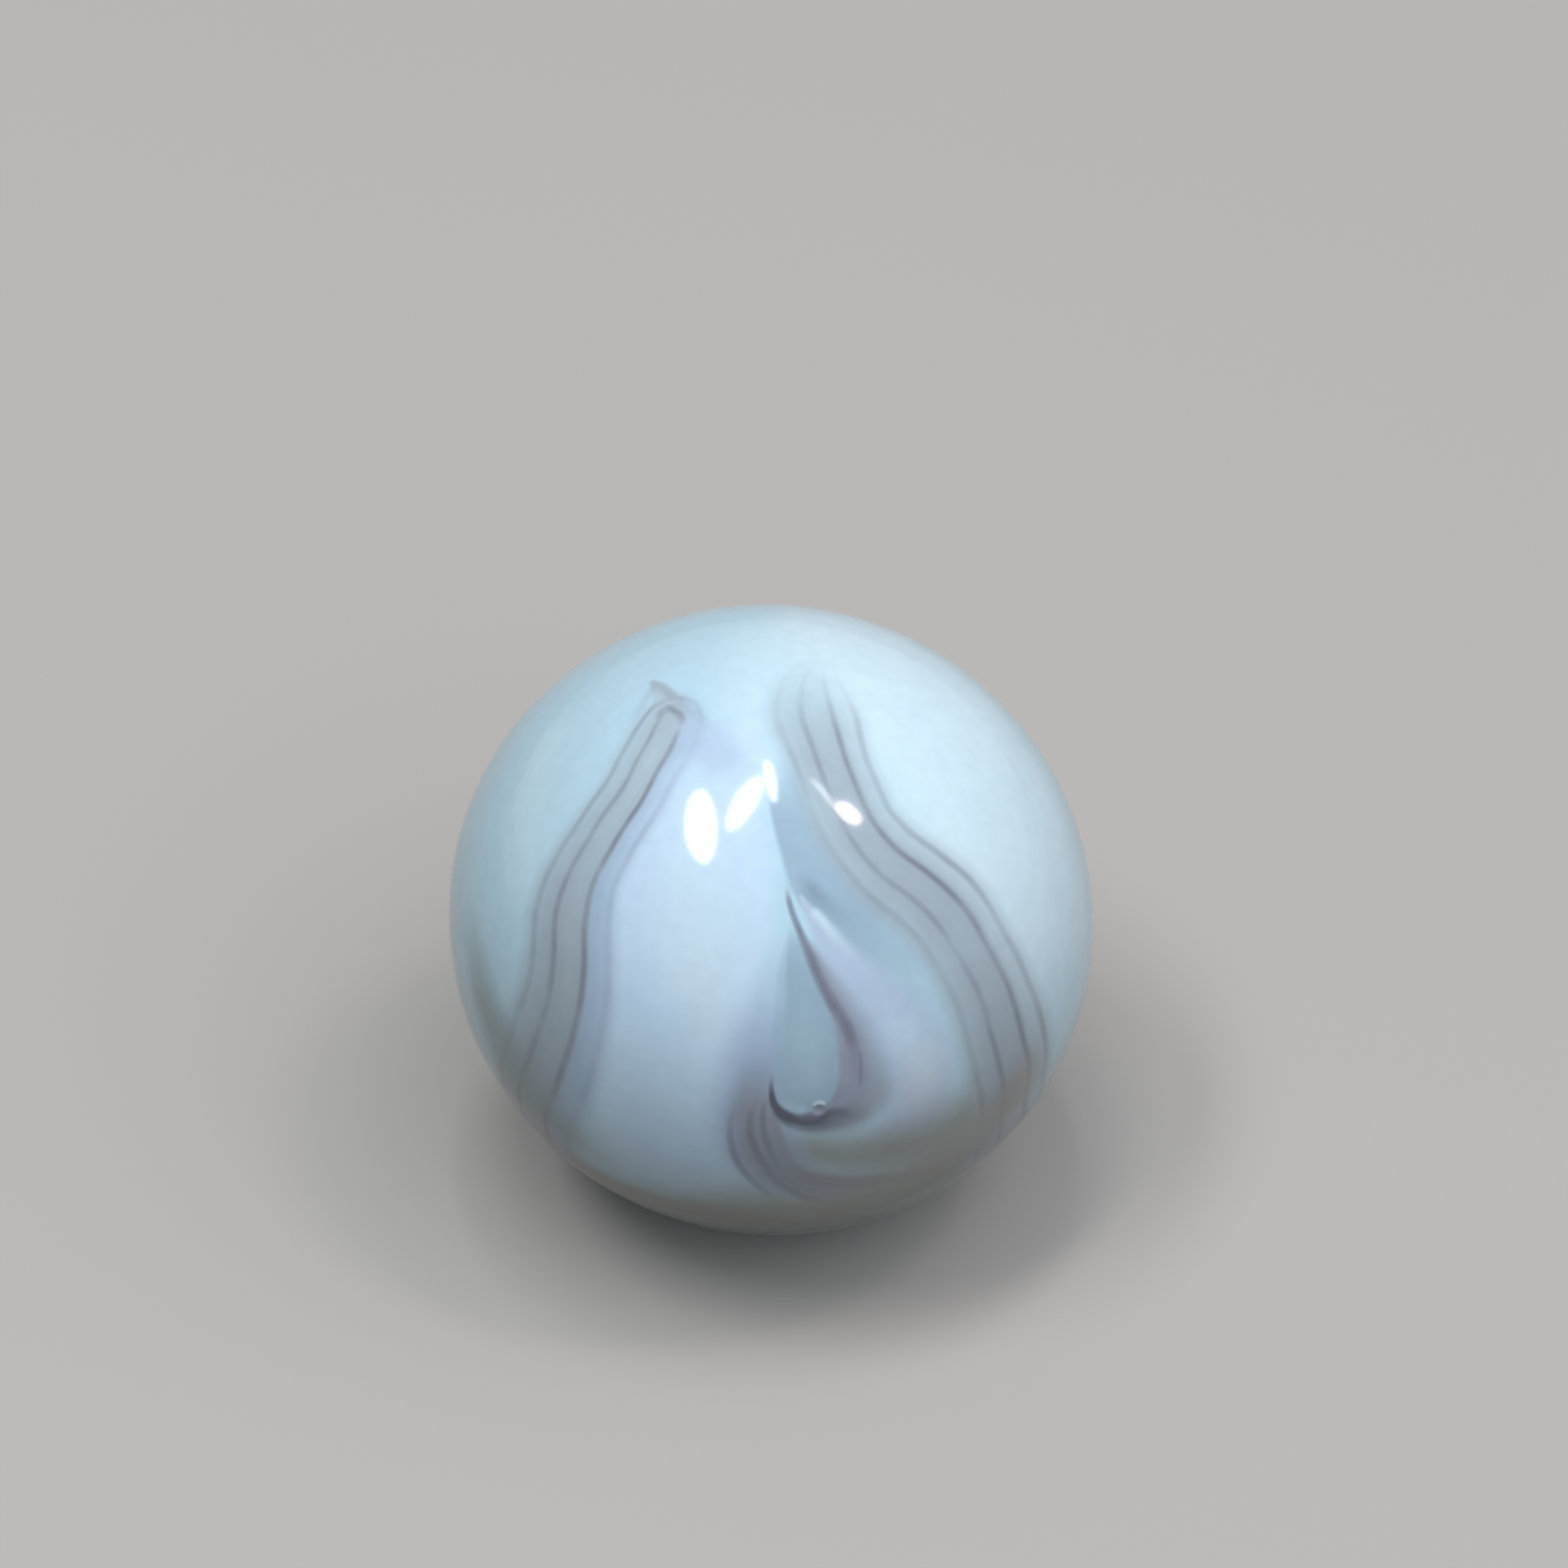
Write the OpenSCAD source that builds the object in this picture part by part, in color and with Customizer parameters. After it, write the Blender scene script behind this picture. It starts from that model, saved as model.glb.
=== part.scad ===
// Glass marble, machine made: one solid ball of opaque swirled glass. It came off
// the rollers a little out of round, with the two small marks of a sheared gob:
// a round pit at one end of the fold and a short curved shear mark at the other.
// Millimetres, +Z up, origin at the ball's centre.

/* [Ball] */
// Diameter of the ball across its round waist
ball_d = 16; // [10:0.5:40]
// How much shorter the ball is along its short axis than across its waist
out_of_round = 0.43; // [0.05:0.01:0.8]
// Lean of the short axis from upright towards +X, in degrees
short_axis_side = 17.6; // [-45:0.1:45]
// Lean of the short axis from upright towards +Y, in degrees
short_axis_back = 40; // [-60:0.5:60]

/* [Pit] */
// Width of the pit's mouth
pit_w = 0.36; // [0.2:0.02:1]
// Depth of the pit below the ball's surface
pit_depth = 0.06; // [0.02:0.01:0.1]
// Direction of the pit round the ball, from +X towards +Y, in degrees
pit_azimuth = -81.6; // [-180:0.1:180]
// Height of the pit above the ball's level circle, in degrees
pit_elevation = 4; // [-80:0.5:80]

/* [Shear mark] */
// Length of the mark, from point to point
shear_len = 0.5; // [0.2:0.05:2]
// Width of the mark's mouth
shear_w = 0.16; // [0.08:0.02:0.4]
// Depth of the mark below the ball's surface
shear_depth = 0.04; // [0.02:0.005:0.04]
// Direction of the mark round the ball, from +X towards +Y, in degrees
shear_azimuth = -164.1; // [-180:0.1:180]
// Height of the mark above the ball's level circle, in degrees
shear_elevation = 71; // [-80:0.5:80]
// Turn of the mark on the surface, from the line of its own meridian, in degrees
shear_turn = 62; // [-90:1:90]

/* [Hidden] */

short_d = ball_d - out_of_round;
flatness = short_d / ball_d;

// Unit vector of the ball's short axis
short_axis = [
    sin(short_axis_side),
    cos(short_axis_side) * sin(short_axis_back),
    cos(short_axis_side) * cos(short_axis_back)
];

BALL_FN = 200;
MARK_FN = 48;

// Unit vector that points out of the ball at an azimuth and an elevation
function outward(azimuth, elevation) =
    [cos(elevation) * cos(azimuth), cos(elevation) * sin(azimuth), sin(elevation)];

// Distance from the ball's centre to its surface along a unit vector
function surface_radius(direction) =
    let (along = direction * short_axis)
    1 / sqrt((1 - along * along) / pow(ball_d / 2, 2) + along * along / pow(short_d / 2, 2));

// Radius of the round tool whose cut has this width and depth
function tool_radius(width, depth) = width * width / (8 * depth) + depth / 2;

// Brings what is drawn on the +Z axis round to an azimuth and an elevation
module at_surface(azimuth, elevation) {
    rotate([0, 90 - elevation, azimuth])
        children();
}

// The ball itself: round across its waist and shorter along its leaning axis
module ball() {
    rotate([-short_axis_back, 0, 0])
        rotate([0, short_axis_side, 0])
            scale([1, 1, flatness])
                sphere(d = ball_d, $fn = BALL_FN);
}

// Round tool that leaves the pit
module pit() {
    tool_r = tool_radius(pit_w, pit_depth);
    surface_r = surface_radius(outward(pit_azimuth, pit_elevation));
    at_surface(pit_azimuth, pit_elevation)
        translate([0, 0, surface_r - pit_depth + tool_r])
            sphere(r = tool_r, $fn = MARK_FN);
}

// Round-edged wheel that leaves the shear mark: it is long and thin where the wheel
// bites, and runs out to a point at both ends
module shear_mark() {
    edge_r = tool_radius(shear_w, shear_depth);
    wheel_r = tool_radius(shear_len, shear_depth);
    surface_r = surface_radius(outward(shear_azimuth, shear_elevation));
    at_surface(shear_azimuth, shear_elevation)
        rotate([0, 0, shear_turn])
            translate([0, 0, surface_r - shear_depth + wheel_r])
                rotate([90, 0, 0])
                    rotate_extrude($fn = MARK_FN)
                        translate([wheel_r - edge_r, 0])
                            circle(r = edge_r, $fn = MARK_FN);
}

// The marble: the ball less the two marks of the shears
module marble() {
    color("#c3d3de")
        difference() {
            ball();
            pit();
            shear_mark();
        }
}

marble();
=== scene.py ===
"""A machine-made glass marble: an opaque ball with its swirl, and a small studio round it."""

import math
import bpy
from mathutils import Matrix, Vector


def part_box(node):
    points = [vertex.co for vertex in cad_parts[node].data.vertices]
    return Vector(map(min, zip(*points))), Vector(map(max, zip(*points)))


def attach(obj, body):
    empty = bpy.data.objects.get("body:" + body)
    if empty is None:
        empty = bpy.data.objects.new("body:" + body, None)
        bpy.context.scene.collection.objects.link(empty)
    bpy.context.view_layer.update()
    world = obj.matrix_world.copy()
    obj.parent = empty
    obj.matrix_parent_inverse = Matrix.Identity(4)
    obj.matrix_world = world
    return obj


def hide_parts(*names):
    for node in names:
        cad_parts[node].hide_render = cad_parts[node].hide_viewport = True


bl_info = {
    "name": "Swirled Glass Marble",
    "version": (1, 0, 0),
    "blender": (4, 5, 0),
    "location": "3D View > Sidebar > Marble",
    "description": "Makes an opaque swirled glass marble and a small studio to show it in",
    "category": "Add Mesh",
}

from typing import NamedTuple

import bpy
import numpy as np
from bpy.props import FloatProperty, FloatVectorProperty, IntProperty, PointerProperty
from mathutils import Matrix, Vector, noise

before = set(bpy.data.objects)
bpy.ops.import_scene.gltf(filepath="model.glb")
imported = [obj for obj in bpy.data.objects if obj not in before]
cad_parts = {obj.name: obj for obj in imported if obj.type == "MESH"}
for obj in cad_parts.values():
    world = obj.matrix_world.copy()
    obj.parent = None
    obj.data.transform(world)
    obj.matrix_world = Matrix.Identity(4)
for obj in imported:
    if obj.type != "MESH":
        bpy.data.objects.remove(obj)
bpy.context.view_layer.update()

NODE = "marble"
BODY = "root"
MM = 0.001
CAD_LOW = Vector(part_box(NODE)[0])


# ---- What a user would change ----


def length(name, description, default_mm):
    """A length property whose default is given in millimetres."""
    return FloatProperty(name=name, description=description, default=default_mm * MM,
                         min=0.0, subtype="DISTANCE", unit="LENGTH", precision=5)


def angle(name, description, default_degrees):
    """An angle property whose default is given in degrees."""
    return FloatProperty(name=name, description=description,
                         default=math.radians(default_degrees), subtype="ANGLE")


def colour(name, description, default):
    """A colour property."""
    return FloatVectorProperty(name=name, description=description, default=default,
                               min=0.0, max=1.0, size=3, subtype="COLOR")


def share(name, description, default, highest=1.0):
    """A plain number from nought up to a highest value."""
    return FloatProperty(name=name, description=description, default=default,
                         min=0.0, max=highest, precision=4)


class BallSettings(bpy.types.PropertyGroup):
    """Size and form of the ball, and the two marks of the shears."""

    waist: length("Waist", "Diameter across the round waist", 16.0)
    out_of_round: length("Out of round", "How much shorter the ball is along its short axis", 0.43)
    side_lean: angle("Side lean", "Lean of the short axis towards +X", 17.6)
    back_lean: angle("Back lean", "Lean of the short axis and of the face towards +Y", 40.0)
    cuts: IntProperty(name="Cuts", description="Cuts along each edge of the blank's cube",
                      default=125, min=8, max=127)
    wave_height: length("Wave height", "How far the fire-polished surface waves", 0.012)
    wave_length: length("Wave length", "Spacing of the waves in the surface", 3.2)
    pit_width: length("Pit width", "Width of the pit at the end of the fold", 0.36)
    pit_depth: length("Pit depth", "Depth of the pit at the end of the fold", 0.06)
    shear_length: length("Shear length", "Length of the shear mark", 0.5)
    shear_width: length("Shear width", "Width of the shear mark", 0.16)
    shear_depth: length("Shear depth", "Depth of the shear mark", 0.04)


class GlassSettings(bpy.types.PropertyGroup):
    """Colours of the glasses that are folded together, some of them painted shade, and their
    finish.
    """

    aqua: colour("Aqua", "Pale blue-green ground", (0.485, 0.72, 0.86))
    # Milk is also the painted glint in the pit and the painted highlight along the lobe
    milk: colour("Milk", "Icy white", (0.63, 0.82, 0.93))
    lilac: colour("Lilac", "White with a breath of lavender", (0.57, 0.76, 0.95))
    lavender: colour("Lavender", "Greyer lavender of the lobe", (0.46, 0.60, 0.78))
    sky: colour("Sky", "Pale blue between the folds", (0.50, 0.72, 0.93))
    teal: colour("Teal", "Clearer blue-green glass in the folds", (0.32, 0.47, 0.60))
    dusk: colour("Dusk", "Blue-purple shade where folds thin out", (0.34, 0.46, 0.65))
    slate: colour("Slate", "Darker blue-grey edge of a fold", (0.22, 0.32, 0.43))
    # Painted shade: the olive-grey drawn over the foot, where little light reaches
    moss: colour("Moss", "Smoky olive-grey at the foot", (0.29, 0.31, 0.29))
    # Painted shade: the dark blue-green drawn low on the left, the less lit side
    fir: colour("Fir", "Dark blue-green low on the left", (0.27, 0.38, 0.40))
    smoke: colour("Smoke", "Grey body of the ribbons", (0.41, 0.51, 0.59))
    # Painted shade: the deeper grey drawn over the ribbons further down the ball
    painted_shade_ash: colour("Ash", "Deeper grey, where the ribbons run down the sides", (0.31, 0.385, 0.45))
    umber: colour("Umber", "Brown-grey beside the lines", (0.29, 0.33, 0.40))
    pearl: colour("Pearl", "Warm white low in the lobe", (0.64, 0.68, 0.71))
    ink: colour("Ink", "Near-black purple of the hook", (0.10, 0.115, 0.165))
    heather: colour("Heather", "Purple-grey of the hook", (0.28, 0.315, 0.42))
    # Bark is also the painted warm reflection low on the right
    bark: colour("Bark", "Brown of the lowest lines", (0.26, 0.235, 0.24))
    plum: colour("Plum", "Dark purple-grey of the lines", (0.165, 0.185, 0.255))
    roughness: share("Roughness", "Roughness of the fire-polished skin", 0.085)
    waver: length("Waver", "How far the strands waver from their course", 0.05)
    waver_length: length("Waver length", "Spacing of the waver along a strand", 1.3)


class StudioSettings(bpy.types.PropertyGroup):
    """Floor, lamps, surroundings and camera."""

    floor_width: length("Floor width", "Width of the floor", 1600.0)
    floor_colour: colour("Floor", "Colour that the floor shows", (0.46, 0.452, 0.44))
    bounce_colour: colour("Bounce", "Share of light that the floor sends back", (0.07, 0.06, 0.05))
    backdrop_colour: colour("Backdrop", "Colour that shows beyond the floor", (0.51, 0.515, 0.52))
    sky_colour: colour("Soft light", "Colour of the soft light from all round", (0.96, 0.98, 1.0))
    sky_level: share("All-round level", "Strength of the soft light from all round", 0.17, 10.0)
    front_level: share("Front level", "Strength of the soft light from before the ball", 1.42, 10.0)
    front_azimuth: angle("Front azimuth", "Turn of the front light to the right of straight before",
                         45.0)
    front_elevation: angle("Front elevation", "Height of the front light over the floor", 51.0)
    lamp_distance: length("Lamp distance", "Distance of the lamps from the ball", 450.0)
    lamp_radiance: share("Lamp radiance", "Brightness of a lamp's face", 12.0, 1000.0)
    lamp_colour: colour("Lamp colour", "Colour of the lamps", (1.0, 1.0, 1.0))
    camera_distance: length("Camera distance", "Distance of the camera from the ball", 110.0)


# ---- The ball's own face: where it looks, and places on it ----


class Ball:
    """The ball's form, and the face that its swirl is drawn on.

    The face leans back: across runs to +X, up runs up the leaning face, and out runs
    from the ball's centre through the middle of the face.
    """

    def __init__(self, settings):
        lean = settings.back_lean
        self.across = np.array((1.0, 0.0, 0.0))
        self.up = np.array((0.0, math.sin(lean), math.cos(lean)))
        self.out = np.array((0.0, -math.cos(lean), math.sin(lean)))
        self.waist_r = settings.waist / 2
        self.short_r = self.waist_r - settings.out_of_round / 2
        self.short_lean = settings.side_lean
        self.short_axis = (math.sin(self.short_lean) * self.across
                           + math.cos(self.short_lean) * self.up)

    def radius(self, directions):
        """Distance from the centre to the plain surface along unit directions."""
        along = directions @ self.short_axis
        return 1 / np.sqrt((1 - along ** 2) / self.waist_r ** 2 + along ** 2 / self.short_r ** 2)

    def place(self, across_mm, up_mm, far=False):
        """Point of the surface this far across and up the face, on the near or the far side."""
        x, y = across_mm * MM, up_mm * MM
        flattening = (self.waist_r / self.short_r) ** 2 - 1
        along = x * math.sin(self.short_lean) + y * math.cos(self.short_lean)
        depth = math.sqrt(max(self.waist_r ** 2 - flattening * along ** 2 - x ** 2 - y ** 2, 0.0))
        return x * self.across + y * self.up + (-depth if far else depth) * self.out

    def direction(self, across_mm, up_mm, far=False):
        """Unit direction of a place on the face."""
        point = self.place(across_mm, up_mm, far)
        return point / np.linalg.norm(point)


# Places of the two marks on the face: across and up, in mm
PIT_AT = (1.1, -4.45)
SHEAR_AT = (-2.4, 4.95)
# Turn of the shear mark from straight up the face, in radians
SHEAR_TURN = math.radians(-62)
# How far the finer faces round each mark reach, in radians, and how often they are cut
PIT_REACH = 0.045
SHEAR_REACH = 0.055
MARK_CUTS = 2


# ---- The swirl: strands of glass, drawn down the face ----


class Strand(NamedTuple):
    """One strand of the swirl.

    path is drawn down the face: (across, up, half width) in mm, or it is the name of an
    earlier strand that this one lies on. behind carries it on round the far side. A section
    says what lies from the strand's middle out to its edge: (share of the half width,
    glass, strength). left and right are the viewer's. fade_in and fade_out are the lengths
    over which its two ends melt away, in mm; without one, the end is round. uneven says how
    much its strength comes and goes.
    """

    name: str
    path: tuple | str
    left: tuple
    right: tuple = ()
    behind: tuple = ()
    fade_in: float = 0.0
    fade_out: float = 0.0
    uneven: float = 0.12


def soft(glass, strength, core=0.4, edge=1.0):
    """Section of a strand that is one glass, solid to its core and melting outwards."""
    return ((0.0, glass, strength), (core, glass, strength), (edge, glass, 0.0))


def thread(strength, glass="plum"):
    """Section of a fine dark thread."""
    return ((0.0, glass, strength), (0.3, glass, strength * 0.8), (1.0, glass, 0.0))


def body(glass, middle, margin):
    """Section of half a ribbon's body: solid between its inner lines, thinner beyond them."""
    return ((0.0, glass, middle), (0.36, glass, middle), (0.55, glass, margin),
            (0.83, glass, margin * 0.75), (1.25, glass, 0.0))


def lines(inner, outer, blush=0.12):
    """Section of half a ribbon's lines: one near its middle and one near its edge."""
    return ((0.0, "umber", 0.0), (0.21, "umber", blush),
            (0.31, "plum", inner), (0.35, "plum", inner),
            (0.45, "umber", blush), (0.7, "umber", blush * 0.6),
            (0.81, "plum", outer), (0.85, "plum", outer), (0.98, "umber", 0.0))


STRANDS = (
    # The fields on the far side
    Strand(
        "far_lilac",
        (), soft("lilac", 0.95, 0.5),
        behind=((-0.2, -6.4, 1.2), (-0.3, -4.4, 1.9), (-0.2, -1.6, 2.5), (0.0, 1.0, 2.7),
                (0.3, 3.4, 2.2), (0.5, 5.4, 1.2)),
        fade_in=2.0, fade_out=2.5,
    ),
    Strand(
        "far_milk",
        (), soft("milk", 0.75, 0.3),
        behind=((-6.2, -3.2, 1.2), (-6.5, -0.6, 1.7), (-5.9, 2.2, 1.8), (-4.4, 4.8, 1.6)),
        fade_in=2.5, fade_out=2.5,
    ),
    Strand(
        "far_wedge",
        (), soft("teal", 0.9, 0.4),
        behind=((1.3, 5.9, 0.2), (0.8, 4.6, 0.5), (0.1, 2.8, 0.75), (-0.4, 0.8, 0.7),
                (-0.3, -1.2, 0.45), (0.2, -2.8, 0.15)),
        fade_in=1.5, fade_out=2.5,
    ),
    Strand(
        "far_crease",
        (), thread(0.75),
        behind=((1.5, 5.2, 0.12), (1.1, 4.2, 0.16), (0.6, 2.6, 0.18), (0.2, 0.8, 0.18),
                (0.1, -1.2, 0.16), (0.4, -2.8, 0.12)),
        fade_in=1.5, fade_out=2.0, uneven=0.4,
    ),
    Strand(
        "far_cloud",
        (), soft("milk", 0.7, 0.1),
        behind=((4.2, 5.9, 1.6), (2.2, 6.7, 2.2), (-0.4, 6.9, 2.3), (-2.8, 6.1, 1.7)),
        fade_in=2.0, fade_out=2.0,
    ),
    # The fields on the face, and painted shade low on the left and at the foot
    Strand(
        "milk_right",
        ((1.3, 7.7, 1.6), (2.3, 6.6, 2.4), (3.6, 5.4, 3.2), (5.2, 3.2, 3.6), (6.3, 0.9, 3.4),
         (6.9, -1.3, 2.7), (6.9, -3.2, 1.5)),
        soft("milk", 1.0, 0.55, 1.2), fade_in=3.0, fade_out=4.0,
    ),
    Strand(
        "milk_top",
        ((0.6, 7.5, 1.2), (-0.1, 6.4, 1.6), (-0.3, 5.2, 1.5), (-0.4, 4.2, 1.1)),
        soft("milk", 0.5, 0.0, 1.2), fade_in=2.0,
    ),
    Strand(
        "milk_left",
        ((-4.6, 5.3, 0.5), (-5.5, 3.9, 0.9), (-5.8, 2.5, 1.1), (-5.9, 1.1, 1.0), (-5.8, -0.2, 0.6)),
        soft("milk", 0.42, 0.0, 1.2), fade_in=1.5, fade_out=1.5,
    ),
    Strand(
        "lilac_middle",
        ((-0.95, 3.9, 0.95), (-1.5, 2.8, 1.55), (-1.8, 1.4, 2.15), (-2.0, -0.2, 2.4),
         (-2.2, -1.8, 2.5), (-2.4, -3.4, 2.5), (-2.3, -5.2, 2.4), (-1.8, -6.6, 2.0)),
        soft("lilac", 1.0, 0.68), fade_out=2.0,
    ),
    Strand(
        "milk_middle",
        ((-1.3, 2.8, 0.5), (-1.6, 1.4, 1.2), (-1.6, 0.0, 1.7), (-1.7, -1.6, 1.7),
         (-2.0, -3.2, 1.3)),
        soft("milk", 0.45, 0.1), fade_in=1.0, fade_out=2.0,
    ),
    Strand(
        "sky_low",
        ((-3.3, -0.6, 0.6), (-3.0, -2.0, 1.3), (-2.8, -3.4, 1.9), (-2.4, -5.0, 2.2),
         (-1.8, -6.4, 2.0)),
        soft("sky", 0.45, 0.2), fade_in=1.5, fade_out=1.0,
    ),
    Strand(
        "cap_shade",
        ((-2.2, 4.5, 0.5), (-1.6, 4.1, 0.8), (-1.1, 3.6, 0.9), (-0.9, 3.0, 0.7)),
        soft("lavender", 0.75, 0.1), fade_out=0.8,
    ),
    # Painted shade: the left side drawn darker towards the bottom
    Strand(
        "fir_left",
        ((-7.4, 0.8, 0.7), (-7.1, -1.0, 1.1), (-6.6, -2.8, 1.4), (-5.9, -4.4, 1.6),
         (-4.8, -5.9, 1.5)),
        soft("fir", 0.85, 0.1), fade_in=3.0, fade_out=2.0,
    ),
    # Painted shade: the foot drawn darker and greyer all round
    Strand(
        "moss_foot",
        ((-6.6, -3.9, 0.9), (-5.9, -4.9, 1.4), (-4.3, -6.4, 1.9), (-2.0, -7.3, 2.5),
         (0.6, -7.4, 3.4), (3.2, -6.8, 3.6), (5.2, -5.6, 3.0), (6.4, -4.4, 2.2), (7.1, -2.8, 1.3)),
        soft("moss", 0.92, 0.35), fade_in=3.0, fade_out=4.0,
    ),
    # The wedge of clearer glass, and the lobe below it
    Strand(
        "teal_wedge",
        ((0.05, 3.9, 0.25), (0.28, 3.2, 0.4), (0.55, 2.4, 0.55), (0.88, 1.6, 0.68),
         (1.25, 0.9, 0.8), (1.8, 0.25, 0.84), (2.5, -0.45, 0.8), (3.3, -1.2, 0.78),
         (3.95, -2.2, 0.7), (4.35, -3.4, 0.55)),
        left=soft("teal", 1.0, 0.85, 1.1),
        right=soft("teal", 1.0, 0.55),
        fade_in=1.8, fade_out=5.5,
    ),
    Strand(
        "lobe",
        ((0.72, 0.5, 0.06), (1.07, -0.15, 0.32), (1.5, -0.85, 0.6), (2.15, -1.6, 0.9),
         (2.9, -2.5, 1.2), (3.45, -3.5, 1.4), (3.4, -4.5, 1.3), (2.8, -5.3, 1.0), (1.6, -5.8, 0.7)),
        soft("lavender", 1.0, 0.3), fade_out=1.5,
    ),
    Strand(
        "lobe_heart",
        ((2.2, -1.7, 0.3), (3.0, -2.6, 0.75), (3.6, -3.5, 0.95), (3.7, -4.3, 0.8)),
        soft("lilac", 0.75, 0.0), fade_in=1.5, fade_out=1.0,
    ),
    Strand(
        "lobe_foot",
        ((3.3, -2.6, 0.5), (3.6, -3.4, 0.9), (3.5, -4.2, 1.1), (3.1, -4.8, 0.9)),
        soft("pearl", 0.35, 0.0), fade_in=1.0, fade_out=0.8,
    ),
    # The root, where the folds gather, with painted shade under the hook and a painted glint in the
    # pit
    # Painted shade: darker olive-grey under the hook and the lobe
    Strand(
        "foot_haze",
        ((-0.1, -5.0, 0.4), (0.5, -5.25, 0.7), (1.3, -5.48, 0.95), (2.4, -5.5, 1.2),
         (3.6, -5.25, 1.4), (4.8, -4.65, 1.6), (5.9, -3.7, 1.6), (6.8, -2.4, 1.2)),
        soft("moss", 0.9, 0.05, 1.1), fade_in=1.2, fade_out=3.0,
    ),
    Strand(
        "dusk_shade",
        ((0.35, 0.1, 0.12), (0.2, -0.7, 0.35), (0.02, -1.6, 0.7), (-0.15, -2.6, 1.08),
         (-0.32, -3.6, 1.35), (-0.42, -4.6, 1.45), (-0.2, -5.4, 1.4), (0.35, -6.1, 1.1),
         (1.3, -6.4, 0.7), (2.2, -6.5, 0.45)),
        soft("dusk", 1.0, 0.15), fade_in=4.5, fade_out=2.5,
    ),
    Strand(
        "umber_root",
        ((-0.2, -2.9, 0.25), (-0.35, -3.6, 0.55), (-0.4, -4.5, 0.85), (-0.25, -5.3, 1.0),
         (0.3, -6.0, 1.0), (1.4, -6.4, 0.8), (2.6, -6.3, 0.6)),
        soft("umber", 0.9, 0.2), fade_in=2.0, fade_out=1.5,
    ),
    Strand(
        "bark_band",
        ((0.2, -5.6, 0.25), (0.75, -6.05, 0.35), (1.7, -6.28, 0.42), (2.7, -6.24, 0.42),
         (3.8, -6.02, 0.42), (4.7, -5.5, 0.4), (5.3, -4.8, 0.35), (5.6, -4.1, 0.3)),
        soft("bark", 0.65, 0.1), fade_in=1.5, fade_out=1.5,
    ),
    Strand(
        "hook_body",
        ((0.72, -0.3, 0.08), (1.0, -0.9, 0.22), (1.4, -1.55, 0.38), (1.76, -2.3, 0.58),
         (2.0, -3.2, 0.82), (2.02, -4.0, 0.98), (1.72, -4.5, 0.88), (1.1, -4.7, 0.5)),
        left=soft("heather", 0.95, 0.5, 1.1),
        right=soft("heather", 0.95, 0.0, 1.1),
        fade_in=0.6, uneven=0.3,
    ),
    Strand(
        "hook_rim",
        ((0.6, -4.8, 0.3), (1.1, -4.8, 0.45), (1.6, -4.75, 0.55), (2.1, -4.55, 0.6),
         (2.45, -4.15, 0.6), (2.5, -3.6, 0.45), (2.45, -3.0, 0.3)),
        soft("umber", 0.75, 0.0), fade_in=0.4, fade_out=1.6, uneven=0.4,
    ),
    Strand(
        "teal_drop",
        ((0.48, 0.1, 0.05), (0.54, -0.7, 0.24), (0.64, -1.3, 0.4), (0.73, -2.05, 0.6),
         (0.78, -2.85, 0.77), (0.8, -3.5, 0.85), (0.8, -3.83, 0.78)),
        left=soft("teal", 1.0, 0.5, 1.1),
        right=soft("teal", 1.0, 0.8, 1.05),
        fade_in=1.0,
    ),
    Strand(
        "drop_edge",
        ((0.4, -0.3, 0.05), (0.26, -1.0, 0.09), (0.14, -2.1, 0.12), (0.04, -3.1, 0.12),
         (0.02, -3.7, 0.08)),
        thread(0.4, "dusk"), fade_in=0.6, fade_out=0.6, uneven=0.5,
    ),
    # Painted glint: a white spot in the pit
    Strand(
        "pit_light",
        ((1.02, -4.3, 0.08), (1.1, -4.28, 0.12), (1.18, -4.3, 0.08)),
        soft("milk", 0.8, 0.3),
    ),
    Strand(
        "drop_light",
        ((0.75, -1.6, 0.3), (0.8, -2.7, 0.8), (0.85, -3.7, 0.9)),
        soft("aqua", 0.22, 0.0), fade_in=1.2,
    ),
    # The two ribbons: their bodies, painted shade over their lower parts, and then their lines
    Strand(
        "left_ribbon",
        ((-2.33, 4.65, 0.85), (-2.6, 4.1, 0.98), (-2.82, 3.7, 1.0), (-3.25, 2.9, 1.0),
         (-3.9, 1.9, 1.02), (-4.45, 0.95, 1.12), (-4.7, 0.1, 1.28), (-4.75, -1.05, 1.35),
         (-4.95, -2.25, 1.42), (-5.4, -3.5, 1.5), (-5.8, -4.6, 1.45)),
        left=body("smoke", 0.8, 0.6),
        right=((0.0, "smoke", 0.8), (0.33, "smoke", 0.8), (0.5, "dusk", 0.4), (0.8, "dusk", 0.3),
               (1.2, "dusk", 0.0)),
        behind=((-5.3, -5.8, 1.35), (-4.3, -6.1, 1.3), (-3.3, -5.5, 1.25), (-2.9, -4.2, 1.2),
                (-3.2, -2.4, 1.2), (-3.9, -0.7, 1.2), (-4.1, 1.0, 1.2), (-3.5, 2.9, 1.2),
                (-2.1, 4.5, 1.1), (-0.7, 5.6, 0.9)),
        fade_out=4.0,
    ),
    # Painted shade: the left ribbon's body deeper grey further down the ball
    Strand(
        "left_depth",
        "left_ribbon",
        left=body("painted_shade_ash", 0.7, 0.6),
        right=((0.0, "painted_shade_ash", 0.7), (0.33, "painted_shade_ash", 0.7), (0.5, "dusk", 0.7), (0.75, "dusk", 0.55),
               (1.15, "dusk", 0.0)),
        fade_in=8.0, fade_out=4.0,
    ),
    Strand(
        "left_lines",
        "left_ribbon",
        left=lines(0.46, 0.32),
        right=lines(0.7, 0.2),
        fade_out=4.5, uneven=0.6,
    ),
    Strand(
        "right_ribbon",
        ((1.36, 6.35, 0.08), (1.14, 6.0, 0.4), (1.03, 5.62, 0.72), (1.02, 5.2, 0.98),
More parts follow.
